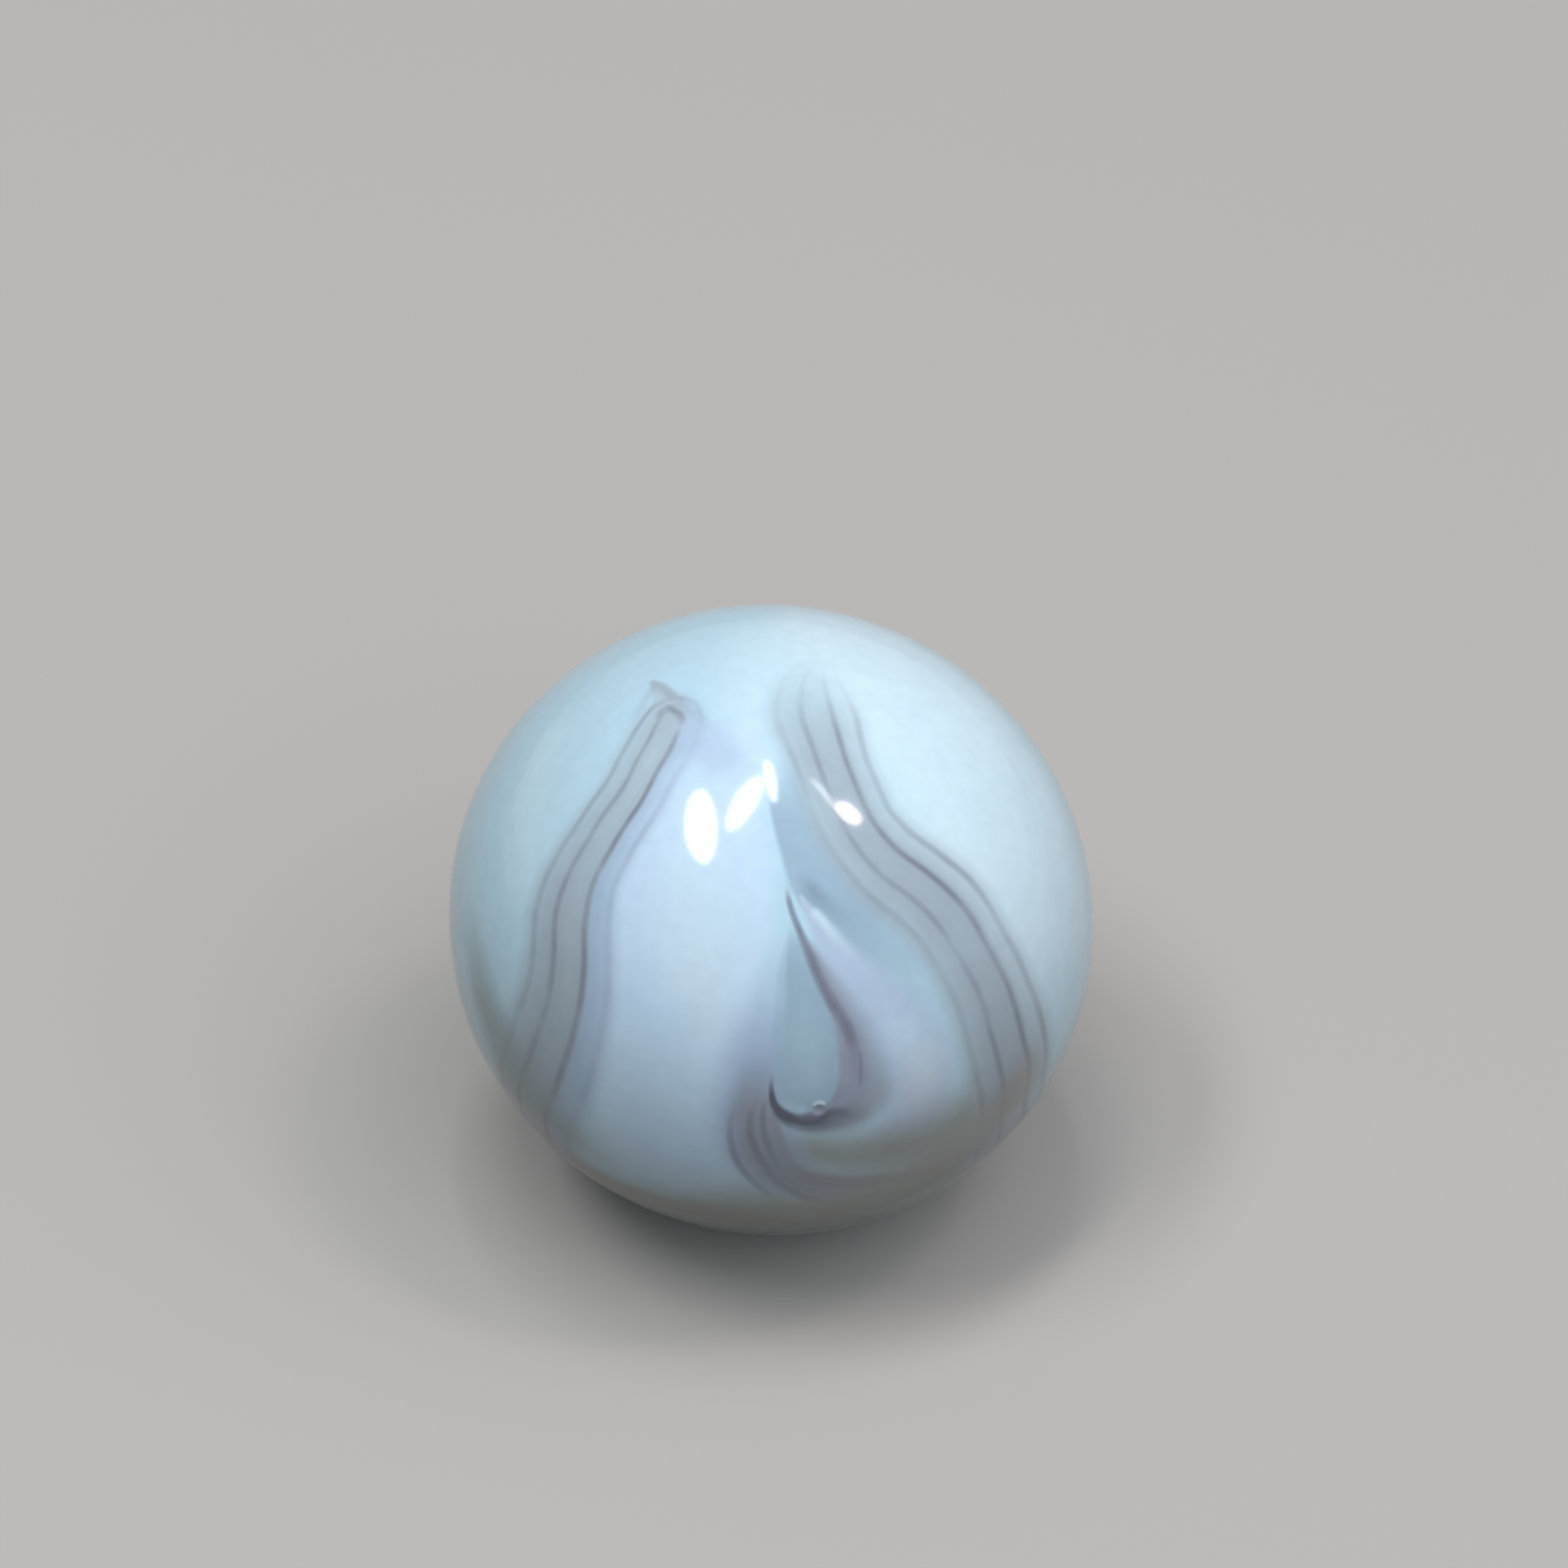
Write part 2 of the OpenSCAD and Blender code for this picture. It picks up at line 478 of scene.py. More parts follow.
         (1.08, 4.75, 1.14), (1.25, 4.2, 1.08), (1.5, 3.45, 1.02), (2.0, 2.25, 1.04),
         (2.68, 1.4, 1.12), (3.45, 0.78, 1.16), (4.02, 0.26, 1.18), (4.47, -0.3, 1.2),
         (4.87, -1.0, 1.22), (5.22, -1.74, 1.28), (5.5, -2.47, 1.33), (5.74, -3.22, 1.4),
         (5.9, -4.0, 1.42), (5.85, -4.8, 1.4)),
        left=body("smoke", 0.8, 0.75),
        right=body("smoke", 0.8, 0.45),
        behind=((5.3, -5.8, 1.35), (4.4, -6.1, 1.3), (3.4, -5.5, 1.25), (2.8, -4.2, 1.2),
                (2.8, -2.4, 1.2), (3.3, -0.6, 1.2), (3.9, 1.0, 1.2), (4.1, 2.8, 1.2),
                (3.5, 4.6, 1.1), (2.5, 6.1, 0.9)),
        fade_in=4.4, fade_out=4.0,
    ),
    # Painted shade: the right ribbon's body deeper grey further down the ball
    Strand(
        "right_depth",
        "right_ribbon",
        left=body("painted_shade_ash", 0.6, 0.5),
        right=body("painted_shade_ash", 0.6, 0.3),
        fade_in=6.5, fade_out=4.0,
    ),
    Strand(
        "right_lines",
        "right_ribbon",
        left=lines(0.44, 0.26),
        right=lines(0.6, 0.4),
        fade_in=4.5, fade_out=4.5, uneven=0.6,
    ),
    # The cap of the left ribbon, and the mark of the shears under it
    Strand(
        "cap_fill",
        ((-2.78, 5.6, 0.14), (-2.55, 5.3, 0.36), (-2.35, 4.95, 0.5), (-2.3, 4.6, 0.5)),
        soft("smoke", 0.6, 0.35),
    ),
    Strand(
        "left_smudge",
        ((-2.3, 4.9, 0.35), (-1.9, 4.5, 0.65), (-1.4, 4.1, 0.9), (-0.9, 3.7, 0.9)),
        soft("lavender", 0.7, 0.0, 1.1), fade_in=0.8, fade_out=1.0,
    ),
    Strand(
        "left_cap",
        ((-3.4, 4.4, 0.2), (-3.05, 5.0, 0.22), (-2.73, 5.55, 0.2), (-2.4, 5.35, 0.2),
         (-1.95, 4.98, 0.22), (-1.5, 4.6, 0.22), (-1.1, 4.28, 0.2)),
        soft("umber", 0.26, 0.1), fade_in=1.2, fade_out=1.4, uneven=0.3,
    ),
    Strand(
        "left_tip",
        ((-2.8, 5.62, 0.16), (-2.6, 5.45, 0.24), (-2.35, 5.28, 0.2)),
        soft("umber", 0.32, 0.0),
    ),
    Strand(
        "shear_shade",
        ((-2.68, 4.6, 0.12), (-2.57, 4.83, 0.15), (-2.38, 4.97, 0.17), (-2.18, 4.84, 0.15),
         (-2.0, 4.5, 0.12)),
        thread(0.4), fade_in=0.3, fade_out=0.4, uneven=0.6,
    ),
    # The fine dark and light lines of the folds, and a painted highlight along the lobe
    Strand(
        "wedge_edge",
        ((0.5, 1.0, 0.15), (0.75, 0.86, 0.26), (1.0, 0.62, 0.34), (1.25, 0.36, 0.34),
         (1.55, 0.05, 0.28), (2.0, -0.42, 0.2)),
        soft("slate", 0.8, 0.0), fade_in=0.6, fade_out=1.6,
    ),
    # Painted highlight: a thin white streak beside the crease, brightest at its top
    Strand(
        "lobe_light",
        ((0.88, 0.32, 0.09), (1.06, 0.1, 0.19), (1.36, -0.28, 0.21), (1.8, -0.74, 0.22),
         (2.2, -1.1, 0.2)),
        soft("milk", 0.8, 0.0), fade_in=0.25, fade_out=1.8, uneven=0.4,
    ),
    Strand(
        "root_near",
        ((0.02, -3.9, 0.1), (0.04, -4.4, 0.16), (0.16, -5.05, 0.16), (0.42, -5.7, 0.17),
         (0.86, -6.08, 0.2), (1.6, -6.26, 0.24), (2.6, -6.2, 0.26), (3.7, -5.95, 0.28),
         (4.7, -5.4, 0.28), (5.35, -4.65, 0.28)),
        thread(0.7, "umber"), fade_in=0.6, fade_out=4.5, uneven=0.5,
    ),
    Strand(
        "root_between",
        ((-0.08, -4.05, 0.06), (-0.2, -4.6, 0.11), (-0.14, -5.2, 0.13), (0.12, -5.8, 0.14),
         (0.5, -6.25, 0.15), (1.1, -6.55, 0.15)),
        thread(0.45), fade_in=0.8, fade_out=1.2, uneven=0.6,
    ),
    Strand(
        "root_middle",
        ((-0.22, -3.9, 0.07), (-0.46, -4.5, 0.12), (-0.5, -5.05, 0.14), (-0.28, -5.6, 0.16),
         (0.08, -6.1, 0.17), (0.6, -6.55, 0.2), (1.6, -6.9, 0.22)),
        thread(0.6), fade_in=1.6, fade_out=1.5, uneven=0.5,
    ),
    Strand(
        "root_far",
        ((-0.8, -4.1, 0.08), (-0.96, -4.8, 0.12), (-0.91, -5.4, 0.15), (-0.66, -5.97, 0.17),
         (-0.24, -6.4, 0.19), (0.4, -6.85, 0.22)),
        thread(0.6), fade_in=1.6, fade_out=1.2, uneven=0.5,
    ),
    Strand(
        "crease",
        ((0.375, 0.85, 0.06), (0.43, 0.5, 0.1), (0.55, 0.0, 0.12), (0.78, -0.64, 0.15),
         (1.03, -1.2, 0.18), (1.37, -1.84, 0.22), (1.69, -2.4, 0.22), (1.9, -3.05, 0.2),
         (1.95, -3.8, 0.14)),
        thread(0.95), fade_in=0.5, fade_out=1.6, uneven=0.3,
    ),
    Strand(
        "hook",
        ((0.05, -3.5, 0.05), (0.02, -3.95, 0.09), (0.1, -4.35, 0.15), (0.42, -4.66, 0.31),
         (0.95, -4.78, 0.46), (1.5, -4.68, 0.5), (2.05, -4.5, 0.5), (2.45, -4.2, 0.38)),
        ((0.0, "ink", 0.95), (0.3, "ink", 0.8), (1.0, "plum", 0.0)),
        fade_in=0.8, fade_out=1.3, uneven=0.5,
    ),
    Strand(
        "hook_clot",
        ((0.25, -4.42, 0.08), (0.5, -4.66, 0.14), (0.85, -4.78, 0.12), (1.15, -4.68, 0.1),
         (1.38, -4.52, 0.18), (1.7, -4.56, 0.2), (1.95, -4.74, 0.14)),
        soft("ink", 0.75, 0.1, 1.1), fade_in=0.3, fade_out=0.5, uneven=0.7,
    ),
    Strand(
        "hook_vein",
        ((2.02, -2.9, 0.05), (2.07, -3.3, 0.08), (2.05, -3.75, 0.08), (1.98, -4.1, 0.05)),
        thread(0.5), fade_in=0.4, fade_out=0.5, uneven=0.5,
    ),
    # Faint light veins in the open fields
    Strand(
        "left_vein",
        ((-5.3, 4.7, 0.12), (-5.85, 3.5, 0.14), (-6.2, 2.2, 0.15), (-6.28, 1.1, 0.14),
         (-5.95, 0.0, 0.12)),
        soft("milk", 0.35, 0.0), fade_in=1.5, fade_out=1.5,
    ),
    Strand(
        "right_vein",
        ((6.6, 0.1, 0.1), (7.0, 0.4, 0.14), (7.4, 0.72, 0.14), (7.7, 0.95, 0.12)),
        soft("milk", 0.5, 0.0), fade_in=0.6, fade_out=1.0,
    ),
    # Painted shade that lies over everything near the foot, and a painted warm reflection low on
    # the right
    # Painted shade: dark blue-green over the lower left
    Strand(
        "left_veil",
        ((-7.3, -1.0, 0.5), (-6.8, -2.4, 1.0), (-6.1, -3.6, 1.3), (-5.1, -4.9, 1.2),
         (-3.9, -6.0, 0.9)),
        soft("fir", 0.62, 0.0, 1.1), fade_in=1.5, fade_out=1.5,
    ),
    # Painted shade: olive-grey over the whole foot
    Strand(
        "foot_veil",
        ((-6.0, -4.7, 0.7), (-4.9, -5.8, 0.9), (-3.2, -6.7, 0.95), (-1.4, -7.1, 1.1),
         (0.6, -7.2, 1.3), (3.0, -6.5, 1.4), (4.9, -5.2, 1.5), (6.1, -4.0, 1.5), (7.0, -2.5, 1.1)),
        soft("moss", 0.75, 0.15), fade_in=2.5, fade_out=2.5,
    ),
    # Painted reflection: warm brown low on the right
    Strand(
        "foot_blush",
        ((4.6, -5.8, 0.6), (5.4, -4.9, 1.0), (6.0, -3.8, 1.1), (6.5, -2.8, 0.8)),
        soft("bark", 0.45, 0.0), fade_in=0.8, fade_out=1.5,
    ),
)

# How finely a strand's path is walked, in mm, the fewest steps, and the least half width
STEP_MM = 0.05
FEWEST_STEPS = 8
LEAST_WIDTH_MM = 0.01
# Beyond this many half widths a strand has no say
REACH = 3.0
# Places that are measured against a path at one time
BATCH = 6000
# Fixes the noise behind the strands' waver, which would otherwise follow the clock
WAVER_SEED = 7


def through(points, steps_each=24):
    """A smooth curve through given points, closed-form between each pair of them."""
    rows = np.asarray(points, float)
    rows = np.vstack((2 * rows[0] - rows[1], rows, 2 * rows[-1] - rows[-2]))
    pieces = []
    t = np.linspace(0, 1, steps_each, endpoint=False)[:, None]
    for a, b, c, d in zip(rows, rows[1:], rows[2:], rows[3:]):
        pieces.append(0.5 * (2 * b + (c - a) * t + (2 * a - 5 * b + 4 * c - d) * t ** 2
                             + (3 * b - a - 3 * c + d) * t ** 3))
    pieces.append(rows[-2][None])
    return np.vstack(pieces)


class Course:
    """A strand's path laid on the ball: even steps, with their directions, headings and widths."""

    def __init__(self, ball, strand):
        placed = [(*ball.place(x, y), w * MM) for x, y, w in strand.path]
        placed += [(*ball.place(x, y, far=True), w * MM) for x, y, w in strand.behind]
        rows = through(placed)
        rows[:, :3] /= np.linalg.norm(rows[:, :3], axis=1)[:, None]
        hops = np.linalg.norm(np.diff(rows[:, :3], axis=0), axis=1) * ball.waist_r
        walked = np.concatenate(([0.0], np.cumsum(hops)))
        self.length = walked[-1]
        count = max(int(self.length / (STEP_MM * MM)), FEWEST_STEPS)
        self.walked = np.linspace(0, self.length, count)
        self.step = self.walked[1]
        rows = np.stack([np.interp(self.walked, walked, column) for column in rows.T], axis=1)
        self.spots = rows[:, :3] / np.linalg.norm(rows[:, :3], axis=1)[:, None]
        self.half_width = np.maximum(rows[:, 3], LEAST_WIDTH_MM * MM)
        heading = np.gradient(self.spots, axis=0)
        heading -= (heading * self.spots).sum(axis=1)[:, None] * self.spots
        self.heading = heading / np.linalg.norm(heading, axis=1)[:, None]
        self.rightward = np.cross(self.spots, self.heading)

    def measure(self, directions, radius):
        """For each direction: half widths across, half widths off the end, and mm along."""
        result = np.empty((len(directions), 3), np.float32)
        spots = self.spots.astype(np.float32)
        for start in range(0, len(directions), BATCH):
            part = directions[start:start + BATCH]
            chord = np.sqrt(np.maximum(2 - 2 * part.astype(np.float32) @ spots.T, 0))
            nearest = np.argmin(chord * radius / self.half_width.astype(np.float32), axis=1)
            width = self.half_width[nearest]
            across = (part * self.rightward[nearest]).sum(axis=1) * radius
            ahead = (part * self.heading[nearest]).sum(axis=1) * radius
            off_end = np.maximum(np.abs(ahead) - self.step / 2, 0)
            far_side = (part * self.spots[nearest]).sum(axis=1) < 0
            off_end[far_side] = REACH * width[far_side]
            result[start:start + BATCH, 0] = np.clip(across / width, -REACH, REACH)
            result[start:start + BATCH, 1] = np.minimum(off_end / width, REACH)
            result[start:start + BATCH, 2] = (self.walked[nearest] + ahead) / MM
        return result


# ---- The ball of glass ----


def deselect_all():
    """Leaves nothing selected, so that an operator acts only on what it is meant for."""
    bpy.ops.object.select_all(action="DESELECT")


def add_blank(ball, cuts):
    """A cube blank of even quads, with the dense corner of its grid turned to the face."""
    deselect_all()
    bpy.ops.mesh.primitive_cube_add(size=2 * ball.waist_r)
    blank = bpy.context.object
    blank.name = "swirled_ball"
    bpy.ops.object.mode_set(mode="EDIT")
    bpy.ops.mesh.select_all(action="SELECT")
    bpy.ops.mesh.subdivide(number_cuts=cuts)
    bpy.ops.object.mode_set(mode="OBJECT")
    corner = Vector((1, 1, 1)).normalized()
    blank.rotation_mode = "QUATERNION"
    blank.rotation_quaternion = corner.rotation_difference(Vector(ball.out))
    bpy.ops.object.transform_apply(location=False, rotation=True, scale=True)
    return blank


def refine_round(blank, spot, reach, levels):
    """Cuts the faces round a spot more finely, so that a small mark has a true form."""
    for level in range(levels):
        mesh = blank.data
        for polygon in mesh.polygons:
            near = Vector(polygon.center).normalized() @ Vector(spot)
            polygon.select = math.acos(min(near, 1.0)) < reach / (level + 1)
        deselect_all()
        blank.select_set(True)
        bpy.context.view_layer.objects.active = blank
        bpy.ops.object.mode_set(mode="EDIT")
        bpy.ops.mesh.select_mode(type="FACE")
        bpy.ops.mesh.subdivide(number_cuts=1, smoothness=0.0)
        bpy.ops.object.mode_set(mode="OBJECT")


def clear_selection(mesh):
    """Deselects every element of a mesh."""
    for elements in (mesh.polygons, mesh.edges, mesh.vertices):
        elements.foreach_set("select", np.zeros(len(elements), bool))


# How softly a dimple's rim runs out into the skin
RIM_POWER = 1.5


def dimple(distance, half_width, depth):
    """Depth of a smooth round-bottomed hollow at a distance from its middle."""
    inside = np.clip(1 - (distance / half_width) ** 2, 0, 1)
    return depth * inside ** RIM_POWER


def read_places(mesh):
    """The mesh's vertex places as rows."""
    flat = np.empty(len(mesh.vertices) * 3, np.float64)
    mesh.vertices.foreach_get("co", flat)
    return flat.reshape(-1, 3)


def write_places(mesh, places):
    """Sets the mesh's vertex places from rows."""
    mesh.vertices.foreach_set("co", places.astype(np.float32).ravel())
    mesh.update()


def unit(rows):
    """Rows scaled to length one."""
    return rows / np.linalg.norm(rows, axis=1)[:, None]


def shape_ball(blank, ball, settings):
    """Brings the blank to the ball's form: a little out of round, waved, pitted and marked."""
    directions = unit(read_places(blank.data))
    radius = ball.radius(directions)
    scale = ball.waist_r / settings.wave_length
    waves = np.array([noise.noise(Vector(d) * scale) for d in directions])
    depth = -waves * settings.wave_height

    pit = ball.direction(*PIT_AT)
    from_pit = np.linalg.norm(directions - pit, axis=1) * ball.waist_r
    depth += dimple(from_pit, settings.pit_width / 2, settings.pit_depth)

    shear = ball.direction(*SHEAR_AT)
    east = np.cross(ball.up, shear)
    east /= np.linalg.norm(east)
    north = np.cross(shear, east)
    along = math.sin(SHEAR_TURN) * east + math.cos(SHEAR_TURN) * north
    beside = np.cross(shear, along)
    offset = (directions - shear) * ball.waist_r
    stretched = np.hypot((offset @ along) / settings.shear_length,
                         (offset @ beside) / settings.shear_width)
    stretched[directions @ shear < 0] = 1.0
    depth += dimple(stretched, 0.5, settings.shear_depth)

    write_places(blank.data, directions * (radius - depth)[:, None])


def lay_swirl(blank, ball, settings):
    """Measures every vertex against every strand, and returns the strands' lengths in mm."""
    directions = unit(read_places(blank.data))
    scale = ball.waist_r / settings.waver_length
    noise.seed_set(WAVER_SEED)
    waver = np.array([noise.noise_vector(Vector(d) * scale) for d in directions])
    directions = unit(directions + waver * (settings.waver / ball.waist_r))
    lengths = {}
    for strand in STRANDS:
        if isinstance(strand.path, str):
            lengths[strand.name] = lengths[strand.path]
            continue
        course = Course(ball, strand)
        lengths[strand.name] = course.length / MM
        layer = blank.data.attributes.new(strand.name, "FLOAT_VECTOR", "POINT")
        layer.data.foreach_set("vector", course.measure(directions, ball.waist_r).ravel())
    return lengths


# ---- The glass ----


class Shader:
    """A node tree, with short ways to add nodes to it."""

    def __init__(self, owner):
        owner.use_nodes = True
        self.owner = owner
        self.tree = owner.node_tree
        self.tree.nodes.clear()

    def add(self, kind, inputs=(), **settings):
        """Adds a node. inputs maps a socket's name or number to a value or to another socket."""
        node = self.tree.nodes.new(kind)
        for key, value in settings.items():
            setattr(node, key, value)
        for key, value in dict(inputs).items():
            if isinstance(value, bpy.types.NodeSocket):
                self.tree.links.new(value, node.inputs[key])
            else:
                node.inputs[key].default_value = value
        return node

    def math(self, operation, *values):
        """Result of a Math node."""
        return self.add("ShaderNodeMath", dict(enumerate(values)), operation=operation).outputs[0]

    def ease(self, value, low, high):
        """Nought below low, one above high, and a smooth step between."""
        node = self.add("ShaderNodeMapRange", {"Value": value, "From Min": low, "From Max": high},
                        interpolation_type="SMOOTHSTEP", clamp=False)
        return node.outputs["Result"]

    def ramp(self, value, stops):
        """An eased Color Ramp node with the stops given as (place, red, green, blue, alpha)."""
        node = self.add("ShaderNodeValToRGB", {"Fac": value})
        node.color_ramp.interpolation = "EASE"
        elements = node.color_ramp.elements
        while len(elements) < len(stops):
            elements.new(0.5)
        for element, (place, *rgba) in zip(elements, stops):
            element.position = place
            element.color = rgba
        return node

    def mix(self, factor, below, above, blend="MIX"):
        """One colour laid over another. The Mix node's colours are its sockets 6 and 7."""
        node = self.add("ShaderNodeMix", {0: factor, 6: below, 7: above},
                        data_type="RGBA", blend_type=blend, clamp_factor=True)
        return node.outputs[2]

    def mottle(self, noise_value, low, high, amount):
        """A number round one that a noise moves up and down by an amount."""
        node = self.add("ShaderNodeMapRange", {
            "Value": noise_value, "From Min": low, "From Max": high,
            "To Min": 1 - amount, "To Max": 1 + amount,
        })
        return node.outputs["Result"]

    def seen(self):
        """One where the camera sees a thing, also in a mirror or through glass, and else nought."""
        ray = self.add("ShaderNodeLightPath").outputs
        either = self.math("MAXIMUM", ray["Is Camera Ray"], ray["Is Glossy Ray"])
        return self.math("MAXIMUM", either, ray["Is Transmission Ray"])


# A section is drawn on a ramp that runs this many half widths from the strand's middle
RAMP_REACH = 1.25
# The left and the right section meet over this many half widths to each side of the middle
MEETING = 0.12
# Clouds in the glass, to a metre, and the band of their values that moves a strand's strength
CLOUDS = 420.0
CLOUD_BAND = (0.35, 0.65)
# Fine specks in the glass, to a metre, the band of their values, and how far they move its tone
SPECKS = 2600.0
SPECK_BAND = (0.25, 0.75)
SPECK_TONE = 0.03
# The skin's faint unevenness, and how strongly glass bends light
SKIN_STRENGTH = 0.05
SKIN_DEPTH_MM = 0.02
GLASS_IOR = 1.52


def section_ramp(shader, reach, section, glass):
    """Draws one side of a strand: its colour, and how strongly it covers what is under it."""
    stops = [(place / RAMP_REACH, *getattr(glass, name), strength)
             for place, name, strength in section]
    return shader.ramp(reach, stops)


def draw_strand(shader, strand, length_mm, glass, below, cloud):
    """Lays one strand over the glass below it, and returns the new colour."""
    measured = strand.path if isinstance(strand.path, str) else strand.name
    stored = shader.add("ShaderNodeAttribute", attribute_type="GEOMETRY",
                        attribute_name=measured).outputs["Vector"]
    across, off_end, along = shader.add("ShaderNodeSeparateXYZ", {0: stored}).outputs
    squares = shader.math("MULTIPLY_ADD", across, across, shader.math("MULTIPLY", off_end, off_end))
    reach = shader.math("DIVIDE", shader.math("SQRT", squares), RAMP_REACH)
    drawn = section_ramp(shader, reach, strand.left, glass)
    tone, cover = drawn.outputs["Color"], drawn.outputs["Alpha"]
    if strand.right:
        other = section_ramp(shader, reach, strand.right, glass)
        side = shader.ease(across, -MEETING, MEETING)
        tone = shader.mix(side, tone, other.outputs["Color"])
        numbers = {0: side, 2: cover, 3: other.outputs["Alpha"]}
        cover = shader.add("ShaderNodeMix", numbers).outputs[0]
    if strand.fade_in:
        cover = shader.math("MULTIPLY", cover, shader.ease(along, 0.0, strand.fade_in))
    if strand.fade_out:
        left_over = shader.math("SUBTRACT", length_mm, along)
        cover = shader.math("MULTIPLY", cover, shader.ease(left_over, 0.0, strand.fade_out))
    # Unclamped, because Cycles has room for only so many values at once, and a clamp holds more
    low, high = CLOUD_BAND
    lively = shader.add("ShaderNodeMapRange", {
        "Value": cloud, "From Min": low, "From Max": high,
        "To Min": 1 - strand.uneven, "To Max": 1 + strand.uneven / 3,
    }, clamp=False)
    cover = shader.math("MULTIPLY", cover, lively.outputs["Result"])
    return shader.mix(cover, below, tone)


def swirled_glass(glass, lengths):
    """The marble's glass: the strands, some of them painted shade and highlights, laid one over
    another on a pale ground.
    """
    shader = Shader(bpy.data.materials.new("swirled_glass"))
    place = shader.add("ShaderNodeTexCoord").outputs["Object"]
    cloud = shader.add("ShaderNodeTexNoise", {"Vector": place, "Scale": CLOUDS, "Detail": 3.0,
                                              "Roughness": 0.55}).outputs["Fac"]
    ground = shader.add("ShaderNodeRGB").outputs[0]
    ground.default_value = (*glass.aqua, 1.0)
    tone = ground
    for strand in STRANDS:
        tone = draw_strand(shader, strand, lengths[strand.name], glass, tone, cloud)
    speck = shader.add("ShaderNodeTexNoise", {"Vector": place, "Scale": SPECKS,
                                              "Detail": 2.0}).outputs["Fac"]
    tone = shader.mix(1.0, tone, shader.mottle(speck, *SPECK_BAND, SPECK_TONE), "MULTIPLY")
    skin = shader.add("ShaderNodeBump", {"Strength": SKIN_STRENGTH, "Height": speck,
                                         "Distance": SKIN_DEPTH_MM * MM})
    surface = shader.add("ShaderNodeBsdfPrincipled", {
        "Base Color": tone,
        "Roughness": glass.roughness,
        "IOR": GLASS_IOR,
        "Normal": skin.outputs["Normal"],
    })
    shader.add("ShaderNodeOutputMaterial", {"Surface": surface.outputs[0]})
    return shader.owner


class MARBLE_OT_add_marble(bpy.types.Operator):
    """Make the marble: the shaped ball, its swirl and its glass"""

    bl_idname = "marble.add_marble"
    bl_label = "Marble"

    def execute(self, context):
        settings = context.scene.marble_ball
        glass = context.scene.marble_glass
        ball = Ball(settings)
        blank = add_blank(ball, settings.cuts)
        clear_selection(blank.data)
        refine_round(blank, ball.direction(*PIT_AT), PIT_REACH, MARK_CUTS)
        refine_round(blank, ball.direction(*SHEAR_AT), SHEAR_REACH, MARK_CUTS)
        shape_ball(blank, ball, settings)
        deselect_all()
        blank.select_set(True)
        bpy.ops.object.shade_smooth()
        lengths = lay_swirl(blank, ball, glass)
        blank.data.materials.append(swirled_glass(glass, lengths))
        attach(blank, BODY)
        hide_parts(NODE)
        return {"FINISHED"}


# ---- The studio ----

# The picture is square, and its size is only used to place the ball in it
PICTURE_PX = 1600
# Where the ball's centre falls in the picture, and half its outline's longer width
BALL_AT_PX = (786.5, 937.8)
BALL_HALF_PX = 329.6
SENSOR_MM = 36.0
# What is nearer to the camera than this share of its distance isn't drawn
NEAREST_SHARE = 0.01


class Lamp(NamedTuple):
    """A soft lamp, described by its reflection on the face.

    at, width and height are the reflection's middle and size on the face, in mm, and turn
    leans its top to the right, in degrees. brightness is a share of the lamps' radiance.
    """

    at: tuple
    width: float
    height: float
    turn: float = 0.0
    brightness: float = 1.0
    tint: tuple = (1.0, 1.0, 1.0)


LAMPS = (
    Lamp((-1.60, 2.12), 0.76, 1.76, -9.0),
    Lamp((-0.59, 2.66), 0.52, 1.45, 22.0),
    Lamp((0.02, 3.16), 0.24, 0.98, -5.0, 1.5),
    Lamp((1.29, 2.84), 0.13, 1.0, -28.0, 0.75),
    Lamp((1.78, 2.45), 0.38, 0.68, -40.0, 1.6, (1.0, 0.80, 0.84)),
)


# The floor: its clouds to a metre, how far they move its tone, and how dull it is
FLOOR_CLOUDS = 9.0
FLOOR_TONE = 0.015
FLOOR_ROUGHNESS = 0.8
FLOOR_SHEEN = 0.2


def floor_material(tint, bounce):
    """Plain pale floor with a breath of unevenness, which keeps most of the light it gets."""
    shader = Shader(bpy.data.materials.new("pale_floor"))
    place = shader.add("ShaderNodeTexCoord").outputs["Object"]
    cloud = shader.add("ShaderNodeTexNoise", {"Vector": place, "Scale": FLOOR_CLOUDS,
                                              "Detail": 4.0}).outputs["Fac"]
    tone = shader.mix(1.0, (*tint, 1.0), shader.mottle(cloud, 0.0, 1.0, FLOOR_TONE), "MULTIPLY")
    tone = shader.mix(shader.seen(), (*bounce, 1.0), tone)
    surface = shader.add("ShaderNodeBsdfPrincipled", {"Base Color": tone,
                                                      "Roughness": FLOOR_ROUGHNESS,
                                                      "Specular IOR Level": FLOOR_SHEEN})
    shader.add("ShaderNodeOutputMaterial", {"Surface": surface.outputs[0]})
    return shader.owner


def add_floor(studio):
    """A level floor that the ball's lowest point touches."""
    deselect_all()
    bpy.ops.mesh.primitive_plane_add(size=studio.floor_width, location=(0, 0, CAD_LOW.z))
    floor = bpy.context.object
    floor.name = "floor"
    floor.data.materials.append(floor_material(studio.floor_colour, studio.bounce_colour))


# How far the soft front light reaches, as cosines of the angle from its middle
FRONT_EDGE = 0.60
FRONT_CORE = 1.0


